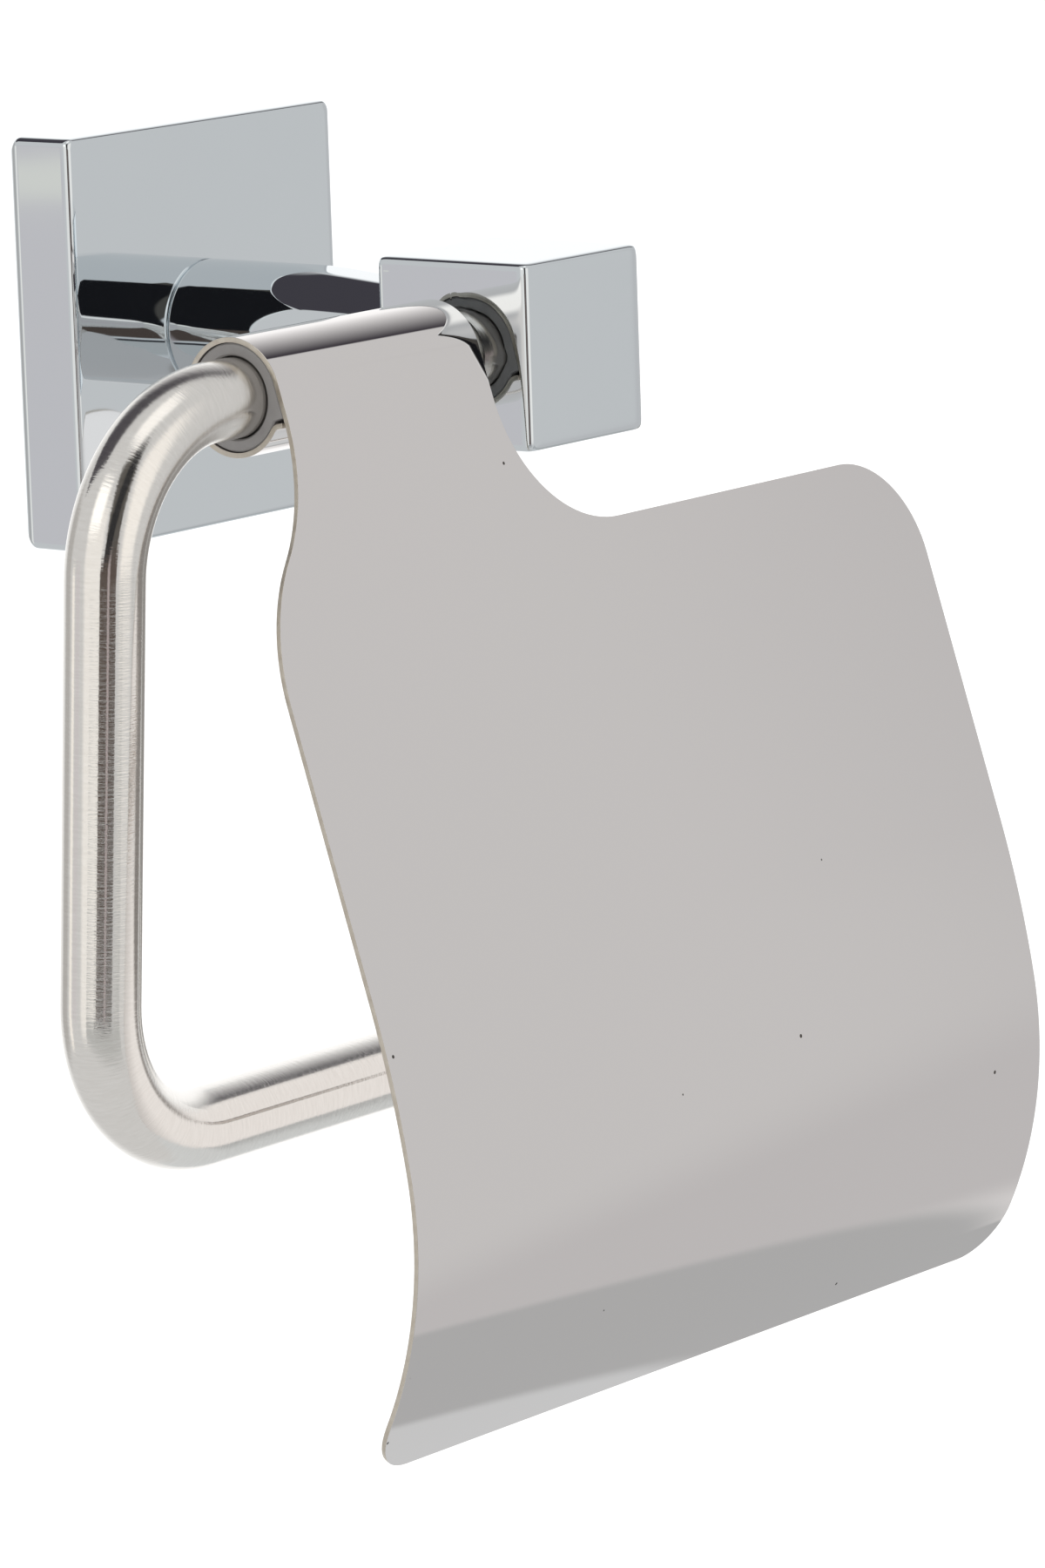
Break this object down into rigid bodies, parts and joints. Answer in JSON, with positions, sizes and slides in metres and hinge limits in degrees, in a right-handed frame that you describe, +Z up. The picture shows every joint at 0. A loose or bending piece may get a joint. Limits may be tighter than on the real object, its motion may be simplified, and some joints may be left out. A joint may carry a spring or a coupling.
{
  "type": "toilet paper holder",
  "caption": "Wall-mounted toilet paper holder: a square rosette, tapered stem and cube block carry a bent roll bar, and a curved hinged steel cover shields the roll.",
  "frame": {"origin": "centre of the rosette's back, on the wall", "axes": "+X to the right along the wall, +Y into the wall, +Z up"},
  "size_m": [0.1392, 0.0894, 0.1455],
  "materials": {
    "chrome": "polished chrome plate",
    "satin_steel": "satin stainless steel, ground lengthwise",
    "polished_steel": "bright polished stainless sheet",
    "zinc_steel": "zinc-plated steel",
    "grey_plastic": "matt grey nylon"
  },
  "bodies": {
    "post": {"wall_bracket": "zinc_steel", "wall_plate": "chrome", "plate_grub_screw": "zinc_steel", "stem_washer": "zinc_steel", "stem_screw": "zinc_steel", "stem": "chrome", "block_stud": "zinc_steel", "block": "chrome", "arm_grub_screw": "zinc_steel", "arm_rod": "satin_steel"},
    "cover": {"cover_sheet": "polished_steel", "cover_bush_left": "grey_plastic", "cover_bush_right": "grey_plastic"}
  },
  "joints": [
    {"name": "cover_hinge", "type": "hinge", "parent": "post", "child": "cover", "pos_m": [-0.0332, -0.05675, 0], "axis": [-1, 0, 0], "range_deg": [-21, 190]}
  ]
}
